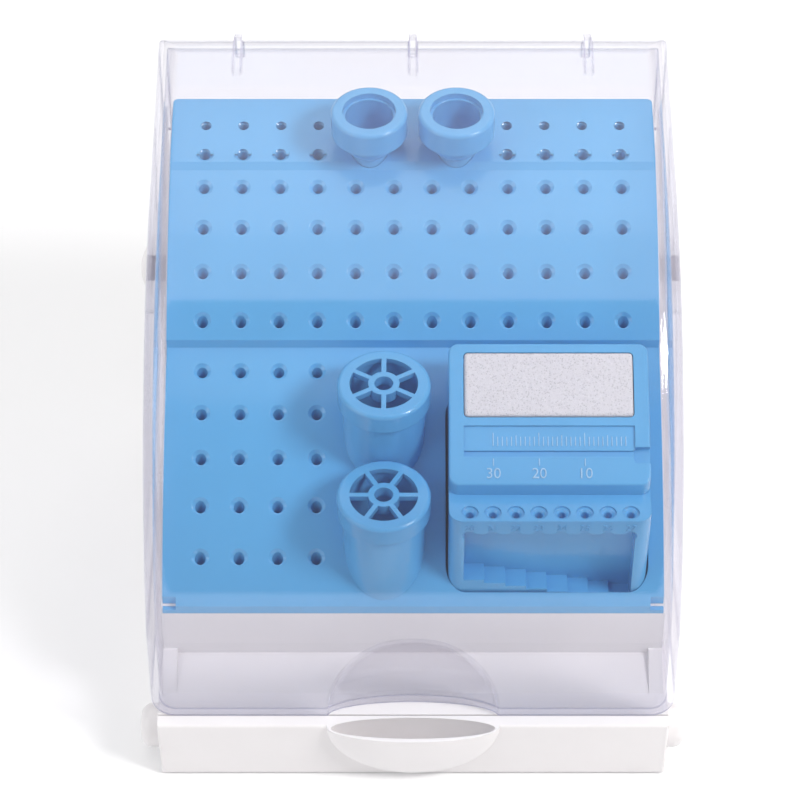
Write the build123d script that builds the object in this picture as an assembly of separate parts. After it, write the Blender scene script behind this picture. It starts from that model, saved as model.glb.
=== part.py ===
from build123d import *
import math
import os

# Bur block: white base with a drawer, blue stepped tray, cups, measuring block and a clear hinged cover.
# Frame in mm: X to the right, Y to the back, Z up; origin on the table under the middle of the base.

# Base and drawer
BASE_WIDTH = 114.4
BASE_DEPTH = 115.4
DECK_TOP = 18.3
DECK = 2.0
WALL = 1.8
FLOOR = 1.6
UPPER_WIDTH = BASE_WIDTH - 1.6
BASE_CORNER = 1.6
RUN_GAP = 0.4
FRONT_PLATE = 3.0
PLATE_GAP = 0.3
PLATE_LIFT = 0.6
DRAWER_WALL = 1.6
DRAWER_LENGTH = BASE_DEPTH - 11.4
PULL_WIDTH = 38.6
PULL_REACH = 4.4
PULL_DEPTH = 16.5
PULL_WALL = 1.0
LUG_RADIUS = 5.0
LUG_REACH = 4.6
LUG_INSET = 2.7
LUG_HEIGHT = 7.5

# Front trough
TROUGH_BACK = -43.5
TROUGH_FRONT = -51.8
TROUGH_RISE = 3.7
FLANK_RISE = 5.4
FLANK_WIDTH = 3.2

# Tray
TRAY_WIDTH = UPPER_WIDTH - 0.8
SIDE_DRAFT = 1.1
TRAY_CORNER = 1.2
CORNER_NOTCH = (3.2, 1.5, 1.2)
TRAY_SHELL = 2.4
TRAY_BACK = (57.5, 99.9)
TIER_1_FRONT = (39.9, 96.4)
TIER_2_BACK = (38.3, 95.2)
TIER_2_MIDDLE = (21.0, 86.4)
TIER_2_FRONT = (5.0, 74.1)
TIER_3_BACK = (4.8, 71.9)
TIER_3_MIDDLE = (-17.8, 59.9)
TRAY_FRONT = (-43.0, 38.5)
TIER_1_SAG = 0.35
ACROSS = TRAY_WIDTH / 112.0
COLUMN_PITCH = 8.6 * ACROSS
HOLE_PITCH = 8.7
TOP_ROW_PITCH = 7.6
COLUMNS = 12
FIRST_ROW_Y = 49.6
SHORT_ROW_COLUMNS = 4
HOLE_RADIUS = 1.2
SINK_RADIUS = 1.95
SINK_DEPTH = 0.5
SINK_PROUD = 0.12
RIB_WIDTH = 5.4
RIB_DEPTH = 9.4

# Cups
SOCKET_WALL = 1.6
SOCKET_FLOOR = 2.0
SOCKET_GAP = 0.15
RING_CUP_X = 9.85 * ACROSS
RING_CUP_Y = 43.0
RING_CUP_TOP = 108.9
RING_CUP_HEIGHT = 20.5
RING_CUP_RADIUS = 6.7
RING_CUP_FOOT = 4.1
RING_CAP_RADIUS = 8.65
RING_CAP_HOLE = 6.0
RING_CAP_HEIGHT = 5.9
DEEP_CUP_X = -6.45 * ACROSS
DEEP_CUPS = {"lower": (-33.0, 64.9, 0), "upper": (-13.2, 79.3, 30)}
DEEP_CUP_HEIGHT = 31.0
DEEP_CUP_RADIUS = 9.2
DEEP_CUP_FOOT = 6.7
DEEP_LID_RADIUS = 10.3
DEEP_LID_HOLE = 7.5
DEEP_LID_HEIGHT = 4.9
CUP_WALL = 1.3
WAIST = 0.45
FLARE_OUT = 0.72
FLARE_UP = 0.38
LID_TOP = 1.4
HUB_RADIUS = 3.45
HUB_HOLE = 2.05
HUB_DEPTH = 2.6
SPOKES = 6
SPOKE_WIDTH = 1.1

# Measuring block
BLOCK_X = 29.75 * ACROSS
BLOCK_WIDTH = 44.0 * ACROSS
BLOCK_FRONT = -40.3
BLOCK_BACK = -5.6
BLOCK_FOOT = 36.0
BLOCK_CORNER = 3.0
POCKET_GAP = 0.5
POCKET_CORNER = 4.5
SHELF_TOP = 64.4
PLATE_FRONT = (-32.6, 67.7)
PLATE_SLOPE = 26.0
PLATE_LENGTH = 32.3
PLATE_THICK = 3.2
GAUGE_HOLES = 8
GAUGE_PITCH = (BLOCK_WIDTH - 4.0) / GAUGE_HOLES
GAUGE_RADIUS = 0.85
GAUGE_SINK = 1.85
GAUGE_STEP = 0.45
GAUGE_NECK = 1.35
GAUGE_SETBACK = 2.6
WINDOW_WIDTH = BLOCK_WIDTH - 6.8
WINDOW_TOP = 60.1
WINDOW_DEPTH = 4.9
STAIR_TOP = 44.4
STAIR_DROP = 1.0
WELL_WIDTH = BLOCK_WIDTH - 6.6
WELL_CORNER = 1.0
WELL_LENGTH = 14.9
WELL_START = 15.3
WELL_DEPTH = 6.2
SPONGE_GAP = 0.15
SPONGE_CROWN = 0.6
PLATE_CORNER = 2.2
PLATE_EDGE = 0.5
GROOVE_START = 7.8
GROOVE_LENGTH = 5.6
GROOVE_DEPTH = 0.5
CHANNEL_START = 6.3
CHANNEL_LENGTH = 1.5
CHANNEL_DEPTH = 1.1
NOTCH_START = 4.9
NOTCH_LENGTH = 3.6
NOTCH_WIDTH = 3.6
NOTCH_DEPTH = 1.7
NOTCH_CORNER = 0.8

# Cover and hinge
COVER_WIDTH = BASE_WIDTH + 3.6
COVER_WALL = 2.0
COVER_GAP = 0.3
COVER_EDGE = 6.0
COVER_FRONT = -58.4
COVER_SHOULDER = (-57.2, 41.0)
COVER_BOW = (-33.0, 82.0)
COVER_CREST = (20.0, 111.0)
COVER_BACK = (61.2, 118.7)
COVER_LIP = 104.0
HINGE_Y = 41.0
HINGE_Z = 61.5
HINGE_BOSS = 10.5
SIDE_RUN = 30.0
PIN_RADIUS = 3.0
PIN_GAP = 0.1
KNOB_RADIUS = 8.2
KNOB_HEIGHT = 5.2
KNOB_GAP = 0.3
KNOB_EDGE = 1.2
RIB_X = 39.5
RIB_THICK = 1.8
RIB_PROUD = 1.0
RIB_LENGTH = 15.0
THUMB_WIDTH = 38.0
THUMB_DEPTH = 4.0
THUMB_HEIGHT = 27.0

BASE_FRONT = -BASE_DEPTH / 2
BASE_BACK = BASE_DEPTH / 2
PANEL_FACE = BASE_FRONT - PLATE_GAP - FRONT_PLATE
COVER_FOOT = DECK_TOP + COVER_GAP
DRAFT_TOP = 122.0
HUGE = 400.0


def side_profile(edges, width):
    """A closed outline in the Y-Z plane, made solid over the width about the middle."""
    face = make_face(Wire(edges))
    return extrude(face, amount=width / 2, dir=(1, 0, 0), both=True)


def at(y, z):
    return Vector(0, y, z)


def outline(points):
    """Straight edges round the given Y-Z points."""
    ring = [at(*p) for p in points]
    return [Line(a, b) for a, b in zip(ring, ring[1:] + ring[:1])]


def block(x0, x1, y0, y1, z0, z1):
    """A box between two corners."""
    box = Box(x1 - x0, y1 - y0, z1 - z0)
    return Pos((x0 + x1) / 2, (y0 + y1) / 2, (z0 + z1) / 2) * box


def across(width, y0, y1, z0, z1):
    return block(-width / 2, width / 2, y0, y1, z0, z1)


def half_width(width, z):
    """Half of a drafted width at a height."""
    return width / 2 - SIDE_DRAFT * (z - DECK_TOP) / (DRAFT_TOP - DECK_TOP)


def drafted(width):
    """A tall wedge that has the width at the deck and narrows upwards."""
    low, top = half_width(width, -1), half_width(width, DRAFT_TOP)
    points = [(-low, -1), (low, -1), (top, DRAFT_TOP), (-top, DRAFT_TOP)]
    section = Polyline(*[Vector(x, 0, z) for x, z in points], close=True)
    return extrude(make_face(section), amount=HUGE / 2, both=True)


def tube(x, y, z0, z1, radius):
    """An upright cylinder from z0 to z1."""
    return Pos(x, y, (z0 + z1) / 2) * Cylinder(radius, z1 - z0)


def arc_through(a, b, c):
    return ThreePointArc(at(*a), at(*b), at(*c))


def tray_line(drop):
    """The tray's stepped top line from back to front, moved down by drop."""
    def low(p):
        return (p[0], p[1] - drop)
    back_middle = ((TRAY_BACK[0] + TIER_1_FRONT[0]) / 2, (TRAY_BACK[1] + TIER_1_FRONT[1]) / 2 + TIER_1_SAG)
    return [
        arc_through(low(TRAY_BACK), low(back_middle), low(TIER_1_FRONT)),
        Line(at(*low(TIER_1_FRONT)), at(*low(TIER_2_BACK))),
        arc_through(low(TIER_2_BACK), low(TIER_2_MIDDLE), low(TIER_2_FRONT)),
        Line(at(*low(TIER_2_FRONT)), at(*low(TIER_3_BACK))),
        arc_through(low(TIER_3_BACK), low(TIER_3_MIDDLE), low(TRAY_FRONT)),
    ]


def under_tray(drop, front, back, bottom, width):
    """The solid below the tray's line, closed at the front, back and bottom."""
    low_back = (TRAY_BACK[0], TRAY_BACK[1] - drop)
    low_front = (TRAY_FRONT[0], TRAY_FRONT[1] - drop)
    edges = tray_line(drop)
    edges.append(Line(at(*low_front), at(low_front[0], bottom)))
    edges.append(Line(at(low_front[0], bottom), at(low_back[0], bottom)))
    edges.append(Line(at(low_back[0], bottom), at(*low_back)))
    whole = side_profile(edges, HUGE) & drafted(width)
    return whole & across(HUGE, front, back, bottom, HUGE)


def arc_height(a, b, c, y):
    """The height at y of the arc through three Y-Z points."""
    (ax, ay), (bx, by), (cx, cy) = a, b, c
    d = 2 * (ax * (by - cy) + bx * (cy - ay) + cx * (ay - by))
    a2, b2, c2 = ax * ax + ay * ay, bx * bx + by * by, cx * cx + cy * cy
    ux = (a2 * (by - cy) + b2 * (cy - ay) + c2 * (ay - by)) / d
    uy = (a2 * (cx - bx) + b2 * (ax - cx) + c2 * (bx - ax)) / d
    radius = math.hypot(ax - ux, ay - uy)
    return uy + math.sqrt(radius * radius - (y - ux) ** 2)


def tray_height(y):
    """The height of the tray's top at y."""
    if y > TIER_1_FRONT[0]:
        share = (y - TIER_1_FRONT[0]) / (TRAY_BACK[0] - TIER_1_FRONT[0])
        return TIER_1_FRONT[1] + share * (TRAY_BACK[1] - TIER_1_FRONT[1])
    if y > TIER_2_FRONT[0]:
        return arc_height(TIER_2_BACK, TIER_2_MIDDLE, TIER_2_FRONT, y)
    return arc_height(TIER_3_BACK, TIER_3_MIDDLE, TRAY_FRONT, y)


def hole_rows():
    """Each row as its y and its columns."""
    everywhere = list(range(COLUMNS))
    left = everywhere[:SHORT_ROW_COLUMNS]
    outer = left + everywhere[-SHORT_ROW_COLUMNS:]
    rows = [(FIRST_ROW_Y, outer), (FIRST_ROW_Y - TOP_ROW_PITCH, outer)]
    y = FIRST_ROW_Y - 2 * TOP_ROW_PITCH
    for columns in [everywhere] * 4 + [left] * 5:
        rows.append((y, columns))
        y -= HOLE_PITCH
    return rows


def column_x(column):
    return (column - (COLUMNS - 1) / 2) * COLUMN_PITCH


def base_shell():
    body = across(BASE_WIDTH, BASE_FRONT, BASE_BACK, 0, DECK_TOP)
    back_edges = body.faces().sort_by(Axis.Y)[-1].edges().filter_by(Axis.Z)
    body = fillet(back_edges, BASE_CORNER)
    slot_width = BASE_WIDTH - 2 * WALL
    body -= across(slot_width, BASE_FRONT - 1, BASE_BACK - WALL, FLOOR, DECK_TOP - DECK)

    # The hollow upper housing that carries the tray
    wall_front = TRAY_FRONT[0]
    upper = under_tray(TRAY_SHELL, wall_front, TRAY_BACK[0], DECK_TOP, UPPER_WIDTH)
    inner = under_tray(-HUGE / 4, wall_front + WALL, TRAY_BACK[0] - WALL, DECK_TOP, UPPER_WIDTH - 2 * WALL)
    body += upper - inner

    # The front trough between its two flanks
    flank = [
        (TROUGH_FRONT, DECK_TOP),
        (TROUGH_BACK, DECK_TOP + FLANK_RISE),
        (wall_front + WALL, DECK_TOP + FLANK_RISE),
        (wall_front + WALL, DECK_TOP),
    ]
    bed = [
        (TROUGH_FRONT, DECK_TOP),
        (TROUGH_BACK, DECK_TOP + TROUGH_RISE),
        (wall_front + WALL, DECK_TOP + TROUGH_RISE),
        (wall_front + WALL, DECK_TOP),
    ]
    flanks = side_profile(outline(flank), UPPER_WIDTH)
    flanks -= across(UPPER_WIDTH - 2 * FLANK_WIDTH, TROUGH_FRONT - 1, TROUGH_BACK + 1, 0, HUGE)
    body += flanks + side_profile(outline(bed), UPPER_WIDTH)

    # Grip lugs beside the drawer, and the holes for the hinge pins
    for side in (-1, 1):
        lug = Cylinder(LUG_RADIUS, LUG_REACH + 1, rotation=(0, 90, 0))
        lug = fillet(lug.faces().sort_by(Axis.X)[-1 if side > 0 else 0].edges(), 2.6)
        reach = side * (BASE_WIDTH / 2 + (LUG_REACH - 1) / 2)
        body += Pos(reach, BASE_FRONT + LUG_INSET + LUG_RADIUS / 2, LUG_HEIGHT) * lug
        boss = Cylinder(PIN_RADIUS + 2.4, 3.0, rotation=(0, 90, 0))
        body += Pos(side * (UPPER_WIDTH / 2 - WALL - 1.5), HINGE_Y, HINGE_Z) * boss
    body -= Pos(0, HINGE_Y, HINGE_Z) * Cylinder(PIN_RADIUS, UPPER_WIDTH + 2, rotation=(0, 90, 0))
    return body


def ellipsoid(x, y, z, rx, ry, rz):
    return Pos(x, y, z) * scale(Sphere(1.0), by=(rx, ry, rz))


def drawer():
    back = BASE_FRONT - PLATE_GAP
    plate = across(BASE_WIDTH, PANEL_FACE, back, PLATE_LIFT, DECK_TOP)
    plate = fillet(plate.faces().sort_by(Axis.Y)[0].edges(), 0.6)
    width = BASE_WIDTH - 2 * WALL - 2 * RUN_GAP
    top = DECK_TOP - DECK - RUN_GAP
    tub = across(width, back, back + DRAWER_LENGTH, FLOOR + RUN_GAP, top)
    tub -= across(
        width - 2 * DRAWER_WALL,
        back + DRAWER_WALL,
        back + DRAWER_LENGTH - DRAWER_WALL,
        FLOOR + RUN_GAP + DRAWER_WALL,
        top + 1,
    )
    pull = ellipsoid(0, PANEL_FACE, DECK_TOP, PULL_WIDTH / 2, PULL_REACH, PULL_DEPTH)
    pull &= across(HUGE, PANEL_FACE - HUGE, PANEL_FACE + 1, 0, DECK_TOP)
    hollow = ellipsoid(
        0,
        PANEL_FACE - PULL_WALL / 2,
        DECK_TOP,
        PULL_WIDTH / 2 - PULL_WALL,
        PULL_REACH - 1.5 * PULL_WALL,
        PULL_DEPTH - 1.6 * PULL_WALL,
    )
    return plate + tub + pull - hollow


def tray_slope(y):
    """The angle of the tray's top at y, in degrees."""
    step = HOLE_RADIUS
    rise = tray_height(y + step) - tray_height(y - step)
    return math.degrees(math.atan2(rise, 2 * step))


def countersunk(x, y):
    """An upright hole whose countersink is square to the tray's sloping top."""
    top = tray_height(y)
    hole = tube(x, y, top - RIB_DEPTH - 2, top + 2, HOLE_RADIUS)
    flare = (SINK_RADIUS - HOLE_RADIUS) / SINK_DEPTH * SINK_PROUD
    height = SINK_DEPTH + SINK_PROUD
    cone = Pos(0, 0, SINK_PROUD - height / 2) * Cone(HOLE_RADIUS, SINK_RADIUS + flare, height)
    return hole + Pos(x, y, top) * Rot(tray_slope(y), 0, 0) * cone


def bur_tray():
    top = under_tray(0, TRAY_FRONT[0], TRAY_BACK[0], 0, TRAY_WIDTH)
    back_face = top.faces().sort_by(Axis.Y)[-1]
    upright = [e for e in back_face.edges() if abs(e.tangent_at(0.5).Z) > 0.9]
    top = fillet(upright, TRAY_CORNER)
    lower = under_tray(TRAY_SHELL, TRAY_FRONT[0] - 1, TRAY_BACK[0] + 1, -1, TRAY_WIDTH + 2)
    shell = top - lower

    inner_width = UPPER_WIDTH - 2 * WALL - 1
    solids = []
    for y, columns in hole_rows():
        x0 = column_x(columns[0]) - RIB_WIDTH / 2
        x1 = column_x(columns[-1]) + RIB_WIDTH / 2
        z = tray_height(y)
        solids.append(block(x0, x1, y - RIB_WIDTH / 2, y + RIB_WIDTH / 2, z - RIB_DEPTH, z + RIB_WIDTH))

    # Sockets of the cups and the pocket of the measuring block
    cups = cup_places()
    for x, y, foot, radius, neck in cups:
        solids.append(Pos(x, y, foot) * room(radius, *neck, SOCKET_GAP + SOCKET_WALL, SOCKET_FLOOR))
    pocket = block_outline(POCKET_GAP + SOCKET_WALL, POCKET_CORNER + SOCKET_WALL)
    solids.append(extrude(Pos(0, 0, BLOCK_FOOT - SOCKET_FLOOR) * pocket, amount=HUGE / 4))
    under = solids[0].fuse(*solids[1:])
    inside = across(inner_width, TRAY_FRONT[0] + WALL + 0.3, TRAY_BACK[0] - WALL - 0.3, 0, HUGE)
    shell += under & inside & top

    for x, y, foot, radius, neck in cups:
        shell -= Pos(x, y, foot) * room(radius, *neck, SOCKET_GAP, 0)
    opening = block_outline(POCKET_GAP, POCKET_CORNER)
    shell -= extrude(Pos(0, 0, BLOCK_FOOT) * opening, amount=HUGE / 4)

    wide, deep, low = CORNER_NOTCH
    for side in (-1, 1):
        edge = side * TRAY_WIDTH / 2
        floor = TRAY_FRONT[1] - low
        shell -= block(edge - wide, edge + wide, TRAY_FRONT[0] - 1, TRAY_FRONT[0] + deep, floor, floor + 9)
    shell -= [countersunk(column_x(column), y) for y, columns in hole_rows() for column in columns]
    return shell


def cup_places():
    """Each cup's axis, foot height, foot radius, and the radius and heights of its taper."""
    places = []
    foot = RING_CUP_TOP - RING_CUP_HEIGHT
    neck = (RING_CUP_RADIUS, RING_CUP_HEIGHT, RING_CAP_HEIGHT)
    for side in (-1, 1):
        places.append((side * RING_CUP_X, RING_CUP_Y, foot, RING_CUP_FOOT, neck))
    neck = (DEEP_CUP_RADIUS, DEEP_CUP_HEIGHT, DEEP_LID_HEIGHT)
    for y, top, _ in DEEP_CUPS.values():
        places.append((DEEP_CUP_X, y, top - DEEP_CUP_HEIGHT, DEEP_CUP_FOOT, neck))
    return places


def turned(path):
    """A ring turned about Z. The path lists radius and height pairs, and three such pairs for an arc."""
    edges, last = [], None
    for step in path + path[:1]:
        pairs = step if isinstance(step[0], tuple) else (step,)
        points = [Vector(radius, 0, z) for radius, z in pairs]
        if last is not None:
            edges.append(Line(last, points[0]))
        if len(points) == 3:
            edges.append(ThreePointArc(*points))
        last = points[-1]
    return revolve(make_face(Wire(edges)), Axis.Z, 360)


def flare(foot_radius, radius, waist, neck):
    """The swelling side of a cup from its waist to its neck, as an arc."""
    middle_radius = foot_radius + FLARE_OUT * (radius - foot_radius)
    return ((foot_radius, waist), (middle_radius, waist + FLARE_UP * (neck - waist)), (radius, neck))


def room(foot_radius, radius, height, cap_height, grow, drop):
    """The room that a cup takes in the tray, grown all round and deepened."""
    waist = height * WAIST
    return turned([
        (0, -drop),
        (foot_radius + grow, -drop),
        flare(foot_radius + grow, radius + grow, waist, height - cap_height),
        (radius + grow, height * 2),
        (0, height * 2),
    ])


def cup(foot_radius, radius, height, cap_height):
    """A cup below its cap: straight in the socket and swelling above it."""
    rim = height - LID_TOP
    neck = height - cap_height
    waist = height * WAIST
    inner = radius - CUP_WALL
    inner_foot = foot_radius - CUP_WALL
    return turned([
        (0, 0),
        (foot_radius, 0),
        flare(foot_radius, radius, waist, neck),
        (radius, rim),
        (inner, rim),
        flare(inner_foot, inner, waist, neck)[::-1],
        (inner_foot, CUP_WALL),
        (0, CUP_WALL),
    ])


def cap(radius, hole, cup_radius, height, cap_height):
    """The ring cap that covers a cup's rim, rounded at its top edge."""
    skirt = height - cap_height
    ring = turned([
        (hole, height),
        (radius, height),
        (radius, skirt),
        (cup_radius, skirt),
        (cup_radius, height - LID_TOP),
        (hole, height - LID_TOP),
    ])
    rim = ring.edges().filter_by(GeomType.CIRCLE).group_by(Axis.Z)[-1].sort_by(SortBy.RADIUS)[-1]
    return fillet(rim, 0.9)


def spoked_lid(turn):
    lid = cap(DEEP_LID_RADIUS, DEEP_LID_HOLE, DEEP_CUP_RADIUS, DEEP_CUP_HEIGHT, DEEP_LID_HEIGHT)
    top = DEEP_CUP_HEIGHT
    hub = tube(0, 0, top - HUB_DEPTH, top, HUB_RADIUS)
    spokes = []
    for i in range(SPOKES):
        bar = block(0, DEEP_LID_HOLE + 0.4, -SPOKE_WIDTH / 2, SPOKE_WIDTH / 2, top - LID_TOP, top)
        spokes.append(Rot(0, 0, turn + 360 / SPOKES * i) * bar)
    wheel = hub.fuse(*spokes) - tube(0, 0, top - HUB_DEPTH - 1, top + 1, HUB_HOLE)
    return lid + wheel


def block_outline(grow, corner):
    """The block's rounded plan, grown on all sides."""
    depth = BLOCK_BACK - BLOCK_FRONT
    plan = RectangleRounded(BLOCK_WIDTH + 2 * grow, depth + 2 * grow, corner)
    return Pos(BLOCK_X, (BLOCK_FRONT + BLOCK_BACK) / 2, 0) * plan


def slope_point(along, deep):
    """A Y-Z point on the measuring plate, along its slope and below its top."""
    c = math.cos(math.radians(PLATE_SLOPE))
    s = math.sin(math.radians(PLATE_SLOPE))
    return (PLATE_FRONT[0] + along * c + deep * s, PLATE_FRONT[1] + along * s - deep * c)


def slope_frame():
    """A plane on the plate's top at its front edge: x to the right, y up the slope."""
    slope = math.radians(PLATE_SLOPE)
    return Plane(
        origin=(BLOCK_X, PLATE_FRONT[0], PLATE_FRONT[1]),
        x_dir=(1, 0, 0),
        z_dir=(0, -math.sin(slope), math.cos(slope)),
    )


def slope_block(x, width, along, length, top, bottom):
    """A box set on the plate's slope, between two heights over its top."""
    box = Box(width, length, top - bottom)
    return slope_frame() * Pos(x, along + length / 2, (top + bottom) / 2) * box


def well(top, bottom):
    """The sponge's well with rounded corners, between two heights over the plate's top."""
    box = Box(WELL_WIDTH, WELL_LENGTH, top - bottom)
    box = fillet(box.edges().filter_by(Axis.Z), WELL_CORNER)
    return slope_frame() * Pos(0, WELL_START + WELL_LENGTH / 2, (top + bottom) / 2) * box


def block_body():
    """The block's body with gauge holes over a window whose floor steps down."""
    plan = block_outline(0, BLOCK_CORNER)
    tall = extrude(Pos(0, 0, BLOCK_FOOT) * plan, amount=HUGE / 4)
    start = slope_point(0, PLATE_THICK)
    end = slope_point(PLATE_LENGTH * 2, PLATE_THICK)
    sides = side_profile(outline([
        (BLOCK_FRONT - 1, BLOCK_FOOT),
        (BLOCK_FRONT - 1, SHELF_TOP),
        (start[0], SHELF_TOP),
        start,
        end,
        (end[0], BLOCK_FOOT),
    ]), HUGE)
    body = tall & sides

    left = BLOCK_X - WINDOW_WIDTH / 2
    tread = WINDOW_WIDTH / GAUGE_HOLES
    cavity_back = BLOCK_FRONT + WINDOW_DEPTH
    cuts = []
    for i in range(GAUGE_HOLES):
        floor = STAIR_TOP - i * STAIR_DROP
        x0 = left + i * tread
        cuts.append(block(x0, x0 + tread, BLOCK_FRONT - 1, cavity_back, floor, WINDOW_TOP))
        scallop = Cylinder(GAUGE_RADIUS * 1.7, 3, rotation=(90, 0, 0))
        x = gauge_x(i)
        cuts.append(Pos(x, BLOCK_FRONT, WINDOW_TOP - 0.6) * scallop)
        sink = GAUGE_NECK - GAUGE_RADIUS
        y = BLOCK_FRONT + GAUGE_SETBACK
        cuts.append(tube(x, y, WINDOW_TOP - 1, SHELF_TOP + 1, GAUGE_RADIUS))
        cuts.append(tube(x, y, SHELF_TOP - GAUGE_STEP, SHELF_TOP + 1, GAUGE_SINK))
        cuts.append(Pos(x, y, SHELF_TOP - GAUGE_STEP - sink / 2) * Cone(GAUGE_RADIUS, GAUGE_NECK, sink))
    body -= cuts
    return body - well(1, -WELL_DEPTH)


def gauge_x(i):
    return BLOCK_X + (i - (GAUGE_HOLES - 1) / 2) * GAUGE_PITCH


def ruler_plate():
    """The sloping plate with the sponge's well, the ruler's recess, the file channel and its end notch."""
    back = slope_point(PLATE_LENGTH, 0)
    plate = side_profile(outline([
        (PLATE_FRONT[0], SHELF_TOP),
        PLATE_FRONT,
        back,
        slope_point(PLATE_LENGTH, PLATE_THICK),
        slope_point(0, PLATE_THICK),
        (slope_point(0, PLATE_THICK)[0], SHELF_TOP),
    ]), BLOCK_WIDTH)
    plate = Pos(BLOCK_X, 0, 0) * plate
    ends = plate.faces().sort_by(Axis.Y)[0].edges().filter_by(Axis.Z)
    back_face = plate.faces().filter_by(lambda f: abs(f.normal_at().Y) > 0.8).sort_by(Axis.Y)[-1]
    ends += [e for e in back_face.edges() if abs(e.tangent_at(0.5).X) < 0.1]
    plate = fillet(ends, PLATE_CORNER)
    front = plate.faces().sort_by(Axis.Y)[0].edges().sort_by(Axis.Z)[-1]
    plate = fillet(front, PLATE_EDGE)
    plate -= well(1, -PLATE_THICK - 1)
    plate -= slope_block(0, WELL_WIDTH, GROOVE_START, GROOVE_LENGTH, 1, -GROOVE_DEPTH)
    plate -= slope_block(0, WELL_WIDTH, CHANNEL_START, CHANNEL_LENGTH, 1, -CHANNEL_DEPTH)
    notch = Box(NOTCH_WIDTH * 2, NOTCH_LENGTH, NOTCH_DEPTH * 2)
    notch = fillet(notch.edges().filter_by(Axis.Z), NOTCH_CORNER)
    return plate - slope_frame() * Pos(BLOCK_WIDTH / 2, NOTCH_START + NOTCH_LENGTH / 2, 0) * notch


def sponge():
    width = WELL_WIDTH - 2 * SPONGE_GAP
    length = WELL_LENGTH - 2 * SPONGE_GAP
    deep = WELL_DEPTH + SPONGE_CROWN
    pad = Box(width, length, deep)
    pad = fillet(pad.edges().filter_by(Axis.Z), WELL_CORNER)
    pad = fillet(pad.faces().sort_by(Axis.Z)[-1].edges(), 0.8)
    middle = WELL_START + WELL_LENGTH / 2
    return slope_frame() * Pos(0, middle, SPONGE_CROWN - deep / 2) * pad


def hood(inset):
    """The cover's closed outer form, or its inner form when inset by the wall."""
    front = COVER_FRONT + inset
    shoulder = (COVER_SHOULDER[0] + inset, COVER_SHOULDER[1])
    bow = (COVER_BOW[0] + inset * 0.75, COVER_BOW[1] - inset * 0.7)
    crest = (COVER_CREST[0] + inset * 0.3, COVER_CREST[1] - inset * 0.95)
    back = (COVER_BACK[0] - inset, COVER_BACK[1] - inset)
    edges = [
        Line(at(front, COVER_FOOT - 5), at(*shoulder)),
        arc_through(shoulder, bow, crest),
        Line(at(*crest), at(*back)),
        Line(at(*back), at(back[0], COVER_FOOT - 5)),
        Line(at(back[0], COVER_FOOT - 5), at(front, COVER_FOOT - 5)),
    ]
    width = COVER_WIDTH - 2 * inset
    solid = side_profile(edges, HUGE) & drafted(width)
    rim = [e for f in solid.faces() if abs(f.normal_at().X) > 0.9 for e in f.edges()]
    top = [e for e in rim if e.center().Z > COVER_FOOT + 1 and e.center().Y < COVER_BACK[0] - inset - 0.5]
    corner = solid.edges().filter_by(Axis.X).sort_by(lambda e: e.center().Y + e.center().Z)[-1]
    return fillet(top + [corner], COVER_EDGE - inset)


def cover():
    thumb = (THUMB_WIDTH / 2, THUMB_DEPTH, THUMB_HEIGHT)
    outer = hood(0) - ellipsoid(0, COVER_FRONT, COVER_FOOT, *thumb)
    grown = [r + COVER_WALL for r in thumb]
    inner = hood(COVER_WALL) - ellipsoid(0, COVER_FRONT, COVER_FOOT, *grown)
    shell = outer - inner

    # Sides and back end where the cover swings past the base
    boss = HINGE_BOSS * math.sqrt(0.5)
    boss_front = (HINGE_Y - boss, HINGE_Z - boss)
    boss_foot = (HINGE_Y, HINGE_Z - HINGE_BOSS)
    boss_back = (HINGE_Y + HINGE_BOSS, HINGE_Z)
    ring = [
        boss_back,
        (HINGE_Y + HINGE_BOSS, HINGE_Z + HINGE_BOSS),
        (COVER_BACK[0] + 5, COVER_LIP),
        (COVER_BACK[0] + 5, HUGE / 2),
        (COVER_FRONT - 5, HUGE / 2),
        (COVER_FRONT - 5, COVER_FOOT),
        (HINGE_Y - SIDE_RUN, COVER_FOOT),
        boss_front,
    ]
    kept = [Line(at(*a), at(*b)) for a, b in zip(ring, ring[1:])]
    kept.append(arc_through(boss_front, boss_foot, boss_back))
    shell &= side_profile(kept, HUGE / 2)
    shell -= Pos(0, HINGE_Y, HINGE_Z) * Cylinder(PIN_RADIUS + PIN_GAP, COVER_WIDTH + 2, rotation=(0, 90, 0))

    # Teardrop ribs over the back top edge
    y1, z1 = COVER_BACK
    slope = (z1 - COVER_CREST[1]) / (y1 - COVER_CREST[0])
    start = y1 - RIB_LENGTH
    tail = outline([
        (start, z1 - slope * RIB_LENGTH - 0.3),
        (start + 2, z1 - slope * (RIB_LENGTH - 2) + RIB_PROUD * 0.6),
        (y1 - 4, z1 + RIB_PROUD - 1.2),
        (y1 - 1.2, z1 - 1.6),
        (y1 + RIB_PROUD - 0.4, z1 - 5),
        (y1 + RIB_PROUD - 0.4, z1 - 9),
        (y1 - 1, z1 - 10),
        (y1 - 1, z1 - 6),
        (y1 - 5, z1 - 2),
    ])
    rib = side_profile(tail, RIB_THICK)
    shell += [Pos(x, 0, 0) * rib for x in (-RIB_X, 0, RIB_X)]
    return shell


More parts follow.
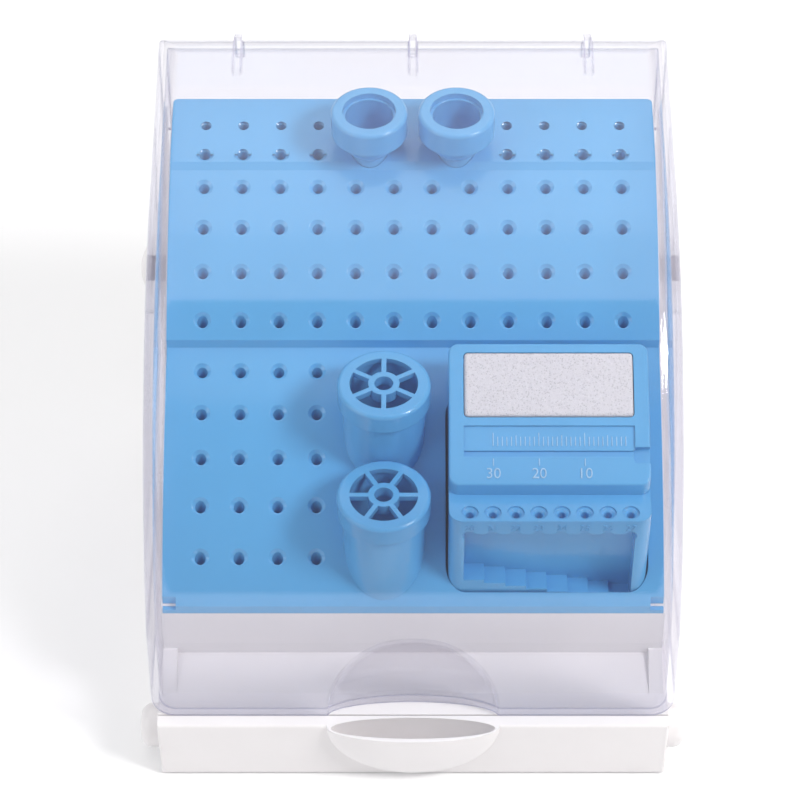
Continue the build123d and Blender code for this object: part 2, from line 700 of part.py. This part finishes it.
def hinge_knob(side):
    """A domed knob with the pin that carries the cover."""
    face = half_width(COVER_WIDTH, HINGE_Z - KNOB_RADIUS) + KNOB_GAP
    root = UPPER_WIDTH / 2 - WALL - 3.0
    dome_start = (KNOB_RADIUS, face + KNOB_EDGE)
    dome_end = (0, face + KNOB_HEIGHT)
    rise = KNOB_HEIGHT - KNOB_EDGE
    ball = (KNOB_RADIUS ** 2 + rise ** 2) / (2 * rise)
    half = math.asin(KNOB_RADIUS / ball) / 2
    dome_middle = (ball * math.sin(half), dome_end[1] - ball + ball * math.cos(half))
    ring = [(0, root), (PIN_RADIUS, root), (PIN_RADIUS, face), (KNOB_RADIUS, face), dome_start]
    corners = [Vector(r, 0, z) for r, z in ring]
    edges = [Line(a, b) for a, b in zip(corners, corners[1:])]
    edges.append(ThreePointArc(*[Vector(r, 0, z) for r, z in (dome_start, dome_middle, dome_end)]))
    edges.append(Line(Vector(0, 0, dome_end[1]), corners[0]))
    knob = revolve(make_face(Wire(edges)), Axis.Z, 360)
    return Pos(0, HINGE_Y, HINGE_Z) * Rot(0, side * 90, 0) * knob


def pieces():
    made = {
        "base_shell": base_shell(),
        "drawer": drawer(),
        "bur_tray": bur_tray(),
        "cover": cover(),
        "hinge_knob_left": hinge_knob(-1),
        "hinge_knob_right": hinge_knob(1),
        "block_body": block_body(),
        "ruler_plate": ruler_plate(),
        "sponge": sponge(),
    }
    foot = RING_CUP_TOP - RING_CUP_HEIGHT
    for name, side in (("left", -1), ("right", 1)):
        place = Pos(side * RING_CUP_X, RING_CUP_Y, foot)
        made["ring_cup_" + name] = place * cup(
            RING_CUP_FOOT, RING_CUP_RADIUS, RING_CUP_HEIGHT, RING_CAP_HEIGHT)
        made["ring_cap_" + name] = place * cap(
            RING_CAP_RADIUS, RING_CAP_HOLE, RING_CUP_RADIUS, RING_CUP_HEIGHT, RING_CAP_HEIGHT)
    for name, (y, top, turn) in DEEP_CUPS.items():
        place = Pos(DEEP_CUP_X, y, top - DEEP_CUP_HEIGHT)
        made["spoked_cup_" + name] = place * cup(
            DEEP_CUP_FOOT, DEEP_CUP_RADIUS, DEEP_CUP_HEIGHT, DEEP_LID_HEIGHT)
        made["spoked_lid_" + name] = place * spoked_lid(turn)
    return made


os.makedirs("parts", exist_ok=True)
for node, shape in pieces().items():
    export_step(shape, "parts/" + node + ".step")
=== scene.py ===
"""Dresses a dental bur block: glossy plastics, ruler marks, sponge and a clear hinged cover."""
import bpy
import math
from mathutils import Matrix, Vector, noise


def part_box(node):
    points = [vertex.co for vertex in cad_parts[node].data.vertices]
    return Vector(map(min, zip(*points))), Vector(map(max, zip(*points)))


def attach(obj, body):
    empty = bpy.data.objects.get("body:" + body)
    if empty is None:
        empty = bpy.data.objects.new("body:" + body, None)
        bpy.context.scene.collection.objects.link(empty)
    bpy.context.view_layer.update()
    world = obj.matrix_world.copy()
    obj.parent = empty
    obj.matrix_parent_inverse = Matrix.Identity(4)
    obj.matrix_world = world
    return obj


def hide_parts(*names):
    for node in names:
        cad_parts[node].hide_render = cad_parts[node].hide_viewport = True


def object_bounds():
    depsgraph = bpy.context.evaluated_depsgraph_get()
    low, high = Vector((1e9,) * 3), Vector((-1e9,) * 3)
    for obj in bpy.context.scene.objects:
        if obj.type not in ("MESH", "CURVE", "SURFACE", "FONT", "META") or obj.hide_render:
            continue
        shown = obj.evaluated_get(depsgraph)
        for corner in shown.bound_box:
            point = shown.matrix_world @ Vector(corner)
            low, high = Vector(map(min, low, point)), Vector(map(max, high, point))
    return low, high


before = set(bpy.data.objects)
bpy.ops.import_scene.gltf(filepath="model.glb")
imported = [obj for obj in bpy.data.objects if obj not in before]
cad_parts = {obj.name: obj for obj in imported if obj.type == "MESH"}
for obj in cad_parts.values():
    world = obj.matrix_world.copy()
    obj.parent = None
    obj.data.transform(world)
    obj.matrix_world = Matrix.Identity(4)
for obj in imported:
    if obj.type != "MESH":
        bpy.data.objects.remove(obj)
CAD_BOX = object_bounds()

bl_info = {
    "name": "Bur block",
    "version": (1, 0, 0),
    "blender": (4, 5, 0),
    "location": "View3D > Sidebar > Bur block",
    "description": "Finishes, marks, sponge and stage of a bur block with a hinged cover",
    "category": "Object",
}

MM = 0.001
BASE = "base"
WHITE_NODES = ("base_shell", "drawer", "hinge_knob_left", "hinge_knob_right")
CLEAR_NODES = ("cover",)
SPONGE_NODE = "sponge"
PLATE_NODE = "ruler_plate"
BLOCK_NODE = "block_body"
HIDDEN_FROM_BLUE = WHITE_NODES + CLEAR_NODES + (SPONGE_NODE,)
EDGE_RADIUS = 0.25 * MM
COVER_EDGE_RADIUS = 0.9 * MM


class BurBlockColours(bpy.types.PropertyGroup):
    """Colours of the plastics, as linear values."""
    blue: bpy.props.FloatVectorProperty(
        name="Blue", description="Tray, cups and measuring block", subtype="COLOR",
        size=4, min=0, max=1, default=(0.118, 0.445, 0.79, 1.0))
    marks: bpy.props.FloatVectorProperty(
        name="Marks", description="Raised ticks and numbers", subtype="COLOR",
        size=4, min=0, max=1, default=(0.42, 0.70, 0.93, 1.0))
    white: bpy.props.FloatVectorProperty(
        name="White", description="Base, drawer and knobs", subtype="COLOR",
        size=4, min=0, max=1, default=(0.88, 0.855, 0.865, 1.0))
    clear: bpy.props.FloatVectorProperty(
        name="Clear edge", description="Tint at the cover's edges", subtype="COLOR",
        size=4, min=0, max=1, default=(0.40, 0.38, 0.54, 1.0))
    foam: bpy.props.FloatVectorProperty(
        name="Foam", description="The sponge", subtype="COLOR",
        size=4, min=0, max=1, default=(0.74, 0.73, 0.745, 1.0))


class BurBlockSizes(bpy.types.PropertyGroup):
    """Sizes of what is added to the frame, and of the stage."""
    tick_width: bpy.props.FloatProperty(
        name="Tick width", description="Width of a ruler tick", unit="LENGTH", default=0.22 * MM)
    tick_height: bpy.props.FloatProperty(
        name="Tick height", description="How far a tick stands proud", unit="LENGTH", default=0.16 * MM)
    tick_pitch: bpy.props.FloatProperty(
        name="Tick pitch", description="From one tick to the next", unit="LENGTH", default=1.0 * MM)
    number_size: bpy.props.FloatProperty(
        name="Number size", description="Height of a ruler number", unit="LENGTH", default=2.4 * MM)
    gauge_size: bpy.props.FloatProperty(
        name="Gauge number size", description="Height of a gauge number", unit="LENGTH", default=1.7 * MM)
    pore_depth: bpy.props.FloatProperty(
        name="Pore depth", description="Unevenness of the sponge", unit="LENGTH", default=0.16 * MM)
    lens: bpy.props.FloatProperty(
        name="Lens", description="Focal length in millimetres", default=128.25)
    elevation: bpy.props.FloatProperty(
        name="Camera elevation", description="Camera angle above the horizon", subtype="ANGLE",
        default=math.radians(47))


class Socket:
    """A shader socket that takes part in Python expressions."""

    def __init__(self, finish, socket):
        self.finish = finish
        self.socket = socket

    def _math(self, operation, first, second=0.0):
        return self.finish.node("ShaderNodeMath", {"operation": operation}, {0: first, 1: second})

    def __add__(self, other):
        return self._math("ADD", self, other)

    __radd__ = __add__

    def __mul__(self, other):
        return self._math("MULTIPLY", self, other)

    __rmul__ = __mul__

    def __sub__(self, other):
        return self._math("SUBTRACT", self, other)

    def __rsub__(self, other):
        return self._math("SUBTRACT", other, self)

    def __pow__(self, other):
        return self._math("POWER", self, other)


class Finish:
    """A node material under construction."""

    def __init__(self, name, colour):
        self.material = bpy.data.materials.new(name)
        self.material.use_nodes = True
        self.material.diffuse_color = colour
        self.tree = self.material.node_tree
        self.tree.nodes.clear()

    def node(self, kind, settings=None, values=None, out=0):
        made = self.tree.nodes.new(kind)
        for name, value in (settings or {}).items():
            setattr(made, name, value)
        for name, value in (values or {}).items():
            self.feed(made.inputs[name], value)
        return Socket(self, made.outputs[out])

    def feed(self, target, value):
        if isinstance(value, Socket):
            self.tree.links.new(value.socket, target)
        else:
            target.default_value = value

    def place(self):
        return self.node("ShaderNodeTexCoord", out="Object")

    def noise(self, scale, detail=2.0):
        values = {"Vector": self.place(), "Scale": scale, "Detail": detail}
        return self.node("ShaderNodeTexNoise", values=values)

    def mix(self, factor, first, second):
        values = {"Factor": factor, "A": first, "B": second}
        made = self.tree.nodes.new("ShaderNodeMix")
        made.data_type = "RGBA"
        for name, value in values.items():
            sockets = [s for s in made.inputs if s.name == name and s.enabled]
            self.feed(sockets[0], value)
        return Socket(self, [s for s in made.outputs if s.enabled][0])

    def bump(self, height, strength, distance, normal=None):
        values = {"Height": height, "Strength": strength, "Distance": distance}
        if normal:
            values["Normal"] = normal
        return self.node("ShaderNodeBump", values=values)

    def soft_edge(self, radius):
        return self.node("ShaderNodeBevel", {"samples": 6}, {"Radius": radius})

    def surface(self, **values):
        return self.node("ShaderNodeBsdfPrincipled", values=values)

    def done(self, shader):
        end = self.tree.nodes.new("ShaderNodeOutputMaterial")
        self.feed(end.inputs["Surface"], shader)
        return self.material


def shade(colour, share):
    """The colour made darker or lighter by a share."""
    return tuple(min(1.0, c * share) for c in colour[:3]) + (1.0,)


def moulded_plastic(name, colour, roughness, coat):
    """Moulded plastic: faint flow marks in its colour, and a gloss that varies a little."""
    finish = Finish(name, colour)
    flow = finish.noise(55.0, 3.0)
    grain = finish.noise(2600.0, 2.0)
    base = finish.mix(flow, shade(colour, 0.96), shade(colour, 1.04))
    gloss = roughness - 0.04 + flow * 0.08
    return finish.done(finish.surface(**{
        "Base Color": base,
        "Roughness": gloss,
        "IOR": 1.49,
        "Coat Weight": coat,
        "Coat Roughness": 0.08,
        "Normal": finish.bump(grain, 0.10, 0.00006, finish.soft_edge(EDGE_RADIUS)),
    }))


def clear_plastic(name, tint):
    """Clear moulded plastic: it mirrors more at a slant, and a little tint gathers in its edges."""
    finish = Finish(name, tint)
    ripple = finish.noise(26.0, 2.0)
    facing = finish.node("ShaderNodeLayerWeight", values={"Blend": 0.5}, out="Facing")
    mirror = facing ** 5.0 * 0.90 + 0.04
    gloss = finish.surface(**{
        "Base Color": (0.97, 0.97, 1.0, 1.0),
        "Metallic": 1.0,
        "Roughness": 0.04 + ripple * 0.03,
        "Normal": finish.bump(ripple, 0.04, 0.0004),
    })
    body = finish.surface(**{"Base Color": tint, "Roughness": 0.18 + ripple * 0.04})
    glass = finish.node("ShaderNodeBsdfTransparent", values={"Color": (0.965, 0.963, 0.978, 1.0)})
    level = finish.node("ShaderNodeVectorMath", {"operation": "DOT_PRODUCT"}, {
        0: finish.soft_edge(COVER_EDGE_RADIUS),
        1: finish.node("ShaderNodeNewGeometry", out="Normal"),
    }, out="Value")
    edge = finish.node("ShaderNodeMapRange", values={0: level, 1: 0.99, 2: 0.80, 3: 0.0, 4: 0.75})
    slant = facing ** 3.0 * 0.7 + 0.015
    gathered = finish.node("ShaderNodeMath", {"operation": "MAXIMUM"}, {0: slant, 1: edge})
    tinted = finish.node("ShaderNodeMixShader", values={0: gathered, 1: glass, 2: body})
    return finish.done(finish.node("ShaderNodeMixShader", values={0: mirror, 1: tinted, 2: gloss}))


def foam(name, colour):
    """Fine open foam with small pits in its bump, and painted shade that darkens the pits."""
    finish = Finish(name, colour)
    pores = finish.node("ShaderNodeTexVoronoi", values={"Vector": finish.place(), "Scale": 1900.0})
    cloud = finish.noise(900.0, 4.0)
    pit_and_painted_shade = finish.node("ShaderNodeMapRange", values={0: pores, 1: 0.05, 2: 0.42})
    # Painted shade: the colour is darker in the pores' pits, where shade would fall.
    base = finish.mix(pit_and_painted_shade, shade(colour, 0.80), shade(colour, 1.06))
    height = pit_and_painted_shade * 0.7 + cloud * 0.5
    return finish.done(finish.surface(**{
        "Base Color": base,
        "Roughness": 0.95,
        "Normal": finish.bump(height, 0.55, 0.0003),
    }))


def dress(piece, material):
    """Gives a piece one material in every slot."""
    piece.data.materials.clear()
    piece.data.materials.append(material)


def start(piece_name, add, **where):
    """Adds a primitive with nothing else selected, and names it."""
    bpy.ops.object.select_all(action="DESELECT")
    add(**where)
    piece = bpy.context.active_object
    piece.name = piece_name
    return piece


def settle(piece):
    """Puts a piece's place into its mesh."""
    bpy.ops.object.select_all(action="DESELECT")
    piece.select_set(True)
    bpy.context.view_layer.objects.active = piece
    bpy.ops.object.convert(target="MESH")
    bpy.ops.object.transform_apply(location=True, rotation=True, scale=True)
    return piece


def join(name, pieces):
    bpy.ops.object.select_all(action="DESELECT")
    for piece in pieces:
        piece.select_set(True)
    bpy.context.view_layer.objects.active = pieces[0]
    bpy.ops.object.join()
    pieces[0].name = name
    return pieces[0]


def finish_piece(piece, material, body=BASE):
    dress(piece, material)
    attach(piece, body)


def plate_frame():
    """The measuring plate's top as a matrix: x to the right, y up the slope, z out of it."""
    low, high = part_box(PLATE_NODE)
    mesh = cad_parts[PLATE_NODE].data
    areas = {}
    for polygon in mesh.polygons:
        normal = polygon.normal
        if normal.z > 0.5 and normal.y < -0.2 and abs(normal.x) < 0.01:
            face = (round(normal.y, 3), round(normal.z, 3), round(polygon.center.dot(normal), 5))
            areas[face] = areas.get(face, 0) + polygon.area
    large = [face for face in areas if areas[face] > 0.3 * max(areas.values())]
    face = max(large, key=lambda face: face[2])
    normal = Vector((0, face[0], face[1])).normalized()
    height = face[2]
    along = Vector((1, 0, 0))
    up_slope = normal.cross(along)
    middle = Vector(((low[0] + high[0]) / 2, low[1], 0))
    middle.z = (height - middle.y * normal.y) / normal.z
    rows = Matrix((along, up_slope, normal)).transposed().to_4x4()
    return Matrix.Translation(middle) @ rows


def bar(name, matrix, x, y, width, length, height):
    """A small bevelled ridge on a face: its foot sunk a little, its top edges broken."""
    piece = start(name, bpy.ops.mesh.primitive_cube_add, size=1.0)
    piece.scale = (width, length, height * 2)
    piece.location = (0, 0, 0)
    settle(piece)
    bpy.ops.object.mode_set(mode="EDIT")
    bpy.ops.mesh.select_all(action="SELECT")
    bpy.ops.mesh.bevel(offset=min(width, height) * 0.25, segments=1, affect="EDGES")
    bpy.ops.object.mode_set(mode="OBJECT")
    piece.matrix_world = matrix @ Matrix.Translation((x, y, 0))
    return settle(piece)


def number(name, words, matrix, x, y, size, height):
    """A raised number standing on a face."""
    piece = start(name, bpy.ops.object.text_add)
    piece.data.body = words
    piece.data.size = size * 1.4
    piece.data.align_x = "CENTER"
    piece.data.align_y = "CENTER"
    piece.data.extrude = height
    piece.data.resolution_u = 4
    piece.matrix_world = matrix @ Matrix.Translation((x, y, 0))
    return settle(piece)


# Places on the plate, measured from the middle of its front edge
RULER_ZERO = 17.7 * MM
RULER_LENGTH = 30
TICK_FOOT = 8.9 * MM
TICK_SHORT = 2.1 * MM
TICK_HALF = 2.4 * MM
TICK_LONG = 3.0 * MM
BAND_TICK_FOOT = 4.2 * MM
BAND_TICK = 1.7 * MM
NUMBER_PLACE = 2.45 * MM
GROOVE_DEPTH = 0.5 * MM


class BURBLOCK_OT_plastics(bpy.types.Operator):
    """Gives the moulded parts of the frame their finishes"""
    bl_idname = "burblock.plastics"
    bl_label = "Finish the plastics"

    def execute(self, context):
        colours = context.scene.bur_block_colours
        white = moulded_plastic("white_moulded", tuple(colours.white), 0.34, 0.15)
        blue = moulded_plastic("blue_moulded", tuple(colours.blue), 0.24, 0.4)
        clear = clear_plastic("clear_moulded", tuple(colours.clear))
        for name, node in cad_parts.items():
            if name in CLEAR_NODES:
                dress(node, clear)
            elif name in WHITE_NODES:
                dress(node, white)
            elif name not in HIDDEN_FROM_BLUE:
                dress(node, blue)
        return {"FINISHED"}


class BURBLOCK_OT_ruler(bpy.types.Operator):
    """Raises the ruler's ticks and numbers on the measuring plate"""
    bl_idname = "burblock.ruler"
    bl_label = "Ruler marks"

    def execute(self, context):
        sizes = context.scene.bur_block_sizes
        colours = context.scene.bur_block_colours
        material = moulded_plastic("mark_moulded", tuple(colours.marks), 0.34, 0.1)
        top = plate_frame()
        floor = top @ Matrix.Translation((0, 0, -GROOVE_DEPTH))
        ticks = []
        for i in range(1, RULER_LENGTH + 1):
            length = TICK_LONG if i % 10 == 0 else TICK_HALF if i % 5 == 0 else TICK_SHORT
            x = RULER_ZERO - i * sizes.tick_pitch
            ticks.append(bar(
                "tick", floor, x, TICK_FOOT + length / 2, sizes.tick_width, length, sizes.tick_height))
        finish_piece(join("ruler_ticks", ticks), material)
        marks = []
        for i in range(10, RULER_LENGTH + 1, 10):
            x = RULER_ZERO - i * sizes.tick_pitch
            marks.append(bar(
                "band_tick", top, x, BAND_TICK_FOOT + BAND_TICK / 2,
                sizes.tick_width, BAND_TICK, sizes.tick_height))
            marks.append(number(
                "ruler_number", str(i), top, x, NUMBER_PLACE, sizes.number_size, sizes.tick_height))
        finish_piece(join("ruler_numbers", marks), material)
        return {"FINISHED"}


GAUGE_PITCH = 5.0 * MM
GAUGE_HOLES = 8
GAUGE_FIRST = 20
GAUGE_DROP = 2.2 * MM
SHELF_HEIGHT = 64.4 * MM


class BURBLOCK_OT_gauge(bpy.types.Operator):
    """Raises a depth number under each gauge hole"""
    bl_idname = "burblock.gauge"
    bl_label = "Gauge numbers"

    def execute(self, context):
        sizes = context.scene.bur_block_sizes
        low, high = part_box(BLOCK_NODE)
        face = Matrix(((1, 0, 0, 0), (0, 0, -1, low[1]), (0, 1, 0, 0), (0, 0, 0, 1)))
        middle = (low[0] + high[0]) / 2
        numbers = []
        for i in range(GAUGE_HOLES):
            x = middle + (i - (GAUGE_HOLES - 1) / 2) * GAUGE_PITCH
            numbers.append(number(
                "gauge_number", str(GAUGE_FIRST + i), face, x, SHELF_HEIGHT - GAUGE_DROP,
                sizes.gauge_size, sizes.tick_height * 0.7))
        blue = bpy.data.materials["blue_moulded"]
        finish_piece(join("gauge_numbers", numbers), blue)
        return {"FINISHED"}


SPONGE_SOFT_EDGE = 0.7 * MM
SPONGE_GRID = 0.32 * MM


class BURBLOCK_OT_sponge(bpy.types.Operator):
    """Models the sponge as a crowned pad with an uneven, porous top"""
    bl_idname = "burblock.sponge"
    bl_label = "Sponge"

    def execute(self, context):
        sizes = context.scene.bur_block_sizes
        colours = context.scene.bur_block_colours
        matrix = plate_frame()
        inverse = matrix.inverted()
        corners = [inverse @ v.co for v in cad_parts[SPONGE_NODE].data.vertices]
        low = Vector([min(c[i] for c in corners) for i in range(3)])
        high = Vector([max(c[i] for c in corners) for i in range(3)])
        size = high - low
        piece = start("sponge_pad", bpy.ops.mesh.primitive_cube_add, size=1.0)
        piece.scale = size
        piece.location = (low + high) / 2
        settle(piece)
        bpy.ops.object.mode_set(mode="EDIT")
        bpy.ops.mesh.select_all(action="SELECT")
        bpy.ops.mesh.bevel(offset=SPONGE_SOFT_EDGE, segments=3, affect="EDGES")
        bpy.ops.object.mode_set(mode="OBJECT")
        remesh = piece.modifiers.new("grid", "REMESH")
        remesh.mode = "VOXEL"
        remesh.voxel_size = SPONGE_GRID
        bpy.ops.object.modifier_apply(modifier=remesh.name)
        middle = (low + high) / 2
        for vertex in piece.data.vertices:
            rise = (vertex.co.z - low.z) / size.z
            if rise > 0.75:
                across = 1 - abs(vertex.co.x - middle.x) / (size.x / 2)
                along = 1 - abs(vertex.co.y - middle.y) / (size.y / 2)
                crown = min(1.0, across * 5) * min(1.0, along * 3)
                rough = noise.noise(vertex.co * 1500.0) + 0.5 * noise.noise(vertex.co * 3600.0)
                vertex.co.z += sizes.pore_depth * (rough - 0.6) * (0.4 + 0.6 * crown)
        piece.data.transform(matrix)
        piece.data.update()
        bpy.ops.object.shade_smooth()
        finish_piece(piece, foam("foam_pad", tuple(colours.foam)))
        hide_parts(SPONGE_NODE)
        return {"FINISHED"}


CUP_WALLS = {"lower": "spoked_cup_lower", "upper": "spoked_cup_upper"}
LID_HEIGHT = 4.9 * MM
CUP_SEGMENTS = 96
CUP_OUTSIDE = 9.3 * MM
CUP_INSIDE = 9.22 * MM
CUP_LOW_OUTSIDE = 9.05 * MM
CUP_LOW_INSIDE = 8.75 * MM
CUP_LEVEL = 3.0 * MM
SEAT = 0.05 * MM


class BURBLOCK_OT_cups(bpy.types.Operator):
    """Brings each deep cup's straight outer wall down to the sloping tray"""
    bl_idname = "burblock.cups"
    bl_label = "Cup walls"

    def execute(self, context):
        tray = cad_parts["bur_tray"]
        for place, node in CUP_WALLS.items():
            low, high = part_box(node)
            lid_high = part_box("spoked_lid_" + place)[1]
            middle = Vector(((low[0] + high[0]) / 2, (low[1] + high[1]) / 2, 0))
            neck = lid_high[2] - LID_HEIGHT
            piece = start("cup_wall_" + place, bpy.ops.mesh.primitive_cylinder_add,
                          vertices=CUP_SEGMENTS, radius=CUP_OUTSIDE, depth=CUP_LEVEL,
                          end_fill_type="NOTHING", location=(middle.x, middle.y, neck - CUP_LEVEL / 2))
            settle(piece)
            bpy.ops.object.mode_set(mode="EDIT")
            bpy.ops.mesh.select_all(action="SELECT")
            bpy.ops.mesh.subdivide(number_cuts=1, quadcorner="INNERVERT")
            bpy.ops.object.mode_set(mode="OBJECT")
            solid = piece.modifiers.new("wall", "SOLIDIFY")
            solid.thickness = CUP_OUTSIDE - CUP_INSIDE
            solid.offset = -1
            bpy.ops.object.modifier_apply(modifier=solid.name)
            for vertex in piece.data.vertices:
                arm = Vector((vertex.co.x - middle.x, vertex.co.y - middle.y, 0))
                inner = arm.length < (CUP_OUTSIDE + CUP_INSIDE) / 2
                if vertex.co.z > neck - CUP_LEVEL / 4:
                    continue
                way = arm.normalized()
                if vertex.co.z < neck - CUP_LEVEL * 0.75:
                    # The wall ends on the higher of two points, so that it never cuts into the slope
                    found = []
                    for reach in (CUP_LOW_OUTSIDE, CUP_LOW_OUTSIDE + 8 * SEAT):
                        begin = middle + way * reach
                        begin.z = neck
                        hit, point = tray.ray_cast(begin, (0, 0, -1))[:2]
                        if hit:
                            found.append(point.z)
                    arm = way * (CUP_LOW_INSIDE if inner else CUP_LOW_OUTSIDE)
                    vertex.co = middle + arm
                    vertex.co.z = max(found) + SEAT
            piece.data.update()
            bpy.ops.object.shade_smooth_by_angle(angle=math.radians(40))
            finish_piece(piece, bpy.data.materials["blue_moulded"])
        return {"FINISHED"}


# Where a perspective fit puts the camera, and the floor's size and the reach of its glow, in metres
CAMERA_PLACE = (-2.9 * MM, -441.6 * MM, 533.3 * MM)
FLOOR_SIZE = 6.0
FLOOR_NEAR = 0.25
FLOOR_FAR = 1.0


def area_light(name, place, aim, size, power, colour):
    light = bpy.data.lights.new(name, "AREA")
    light.shape = "RECTANGLE"
    light.size, light.size_y = size
    light.energy = power
    light.color = colour
    lamp = bpy.data.objects.new(name, light)
    bpy.context.scene.collection.objects.link(lamp)
    lamp.location = place
    lamp.rotation_euler = (Vector(place) - Vector(aim)).to_track_quat("Z", "Y").to_euler()
    return lamp


def floor_white():
    """A matt pale floor that shows white to the camera and keeps the object's shadow."""
    finish = Finish("floor_white", (1, 1, 1, 1))
    rays = finish.tree.nodes.new("ShaderNodeLightPath")
    names = ("Is Camera Ray", "Is Glossy Ray", "Is Transmission Ray")
    ways = [Socket(finish, rays.outputs[name]) for name in names]
    seen = finish.node("ShaderNodeMath", {"operation": "ADD", "use_clamp": True}, {
        0: ways[0] + ways[1], 1: ways[2]})
    reach = finish.node("ShaderNodeVectorMath", {"operation": "LENGTH"}, {0: finish.place()}, out="Value")
    away = finish.node("ShaderNodeMapRange", values={0: reach, 1: FLOOR_NEAR, 2: FLOOR_FAR})
    glow = finish.mix(away, (0.16, 0.16, 0.16, 1), (0.95, 0.95, 0.95, 1))
    return finish.done(finish.surface(**{
        "Base Color": (0.86, 0.86, 0.87, 1),
        "Roughness": 0.9,
        "Emission Color": finish.mix(seen, (0, 0, 0, 1), glow),
        "Emission Strength": 1.0,
    }))


class BURBLOCK_OT_stage(bpy.types.Operator):
    """Sets the floor, the lamps, the world and the camera"""
    bl_idname = "burblock.stage"
    bl_label = "Stage"

    def execute(self, context):
        sizes = context.scene.bur_block_sizes
        scene = context.scene
        scene.view_settings.view_transform = "Standard"
        floor = start("floor", bpy.ops.mesh.primitive_plane_add, size=FLOOR_SIZE)
        dress(floor, floor_white())

        world = bpy.data.worlds.new("studio")
        scene.world = world
        world.use_nodes = True
        tree = world.node_tree
        tree.nodes.clear()
        out = tree.nodes.new("ShaderNodeOutputWorld")
        background = tree.nodes.new("ShaderNodeBackground")
        background.inputs["Color"].default_value = (1.0, 0.99, 0.98, 1)
        white = tree.nodes.new("ShaderNodeBackground")
        white.inputs["Color"].default_value = (1, 1, 1, 1)
        path = tree.nodes.new("ShaderNodeLightPath")
        chosen = tree.nodes.new("ShaderNodeMixShader")
        background.inputs["Strength"].default_value = 0.34
        tree.links.new(path.outputs["Is Camera Ray"], chosen.inputs[0])
        tree.links.new(background.outputs[0], chosen.inputs[1])
        tree.links.new(white.outputs[0], chosen.inputs[2])
        tree.links.new(chosen.outputs[0], out.inputs["Surface"])

        low, high = CAD_BOX
        middle = tuple((a + b) / 2 for a, b in zip(low, high))
        lamps = (
            ("key_right", (0.55, -0.28, 0.68), (0.22, 0.22), 5.0, (1.0, 0.985, 0.965)),
            ("fill_left", (-0.60, -0.30, 0.45), (0.5, 0.5), 2.0, (0.97, 0.985, 1.0)),
            ("softbox_back", (0.0, 0.34, 1.0), (1.2, 1.25), 5.4, (1.0, 0.99, 0.98)),
        )
        for name, place, size, power, colour in lamps:
            area_light(name, place, middle, size, power, colour)

        camera = bpy.data.cameras.new("camera")
        camera.lens = sizes.lens
        camera.sensor_width = 36.0
        camera.clip_start = 0.01
        seat = bpy.data.objects.new("camera", camera)
        scene.collection.objects.link(seat)
        seat.location = CAMERA_PLACE
        seat.rotation_euler = (math.pi / 2 - sizes.elevation, 0, 0)
        scene.camera = seat
        return {"FINISHED"}


class BURBLOCK_PT_panel(bpy.types.Panel):
    """Lists the steps that dress the bur block"""
    bl_label = "Bur block"
    bl_idname = "BURBLOCK_PT_panel"
    bl_space_type = "VIEW_3D"
    bl_region_type = "UI"
    bl_category = "Bur block"

    def draw(self, context):
        for step in STEPS:
            self.layout.operator(step.bl_idname)
        for group in (context.scene.bur_block_colours, context.scene.bur_block_sizes):
            for name in group.__annotations__:
                self.layout.prop(group, name)


STEPS = (
    BURBLOCK_OT_stage,
    BURBLOCK_OT_plastics,
    BURBLOCK_OT_ruler,
    BURBLOCK_OT_gauge,
    BURBLOCK_OT_cups,
    BURBLOCK_OT_sponge,
)
CLASSES = (BurBlockColours, BurBlockSizes) + STEPS + (BURBLOCK_PT_panel,)


def register():
    for cls in CLASSES:
        bpy.utils.register_class(cls)
    bpy.types.Scene.bur_block_colours = bpy.props.PointerProperty(type=BurBlockColours)
    bpy.types.Scene.bur_block_sizes = bpy.props.PointerProperty(type=BurBlockSizes)


def unregister():
    del bpy.types.Scene.bur_block_sizes
    del bpy.types.Scene.bur_block_colours
    for cls in reversed(CLASSES):
        bpy.utils.unregister_class(cls)


def main():
    register()
    bpy.ops.burblock.stage()
    bpy.ops.burblock.plastics()
    bpy.ops.burblock.ruler()
    bpy.ops.burblock.gauge()
    bpy.ops.burblock.cups()
    bpy.ops.burblock.sponge()
    bpy.context.view_layer.update()


if __name__ == "__main__":
    main()
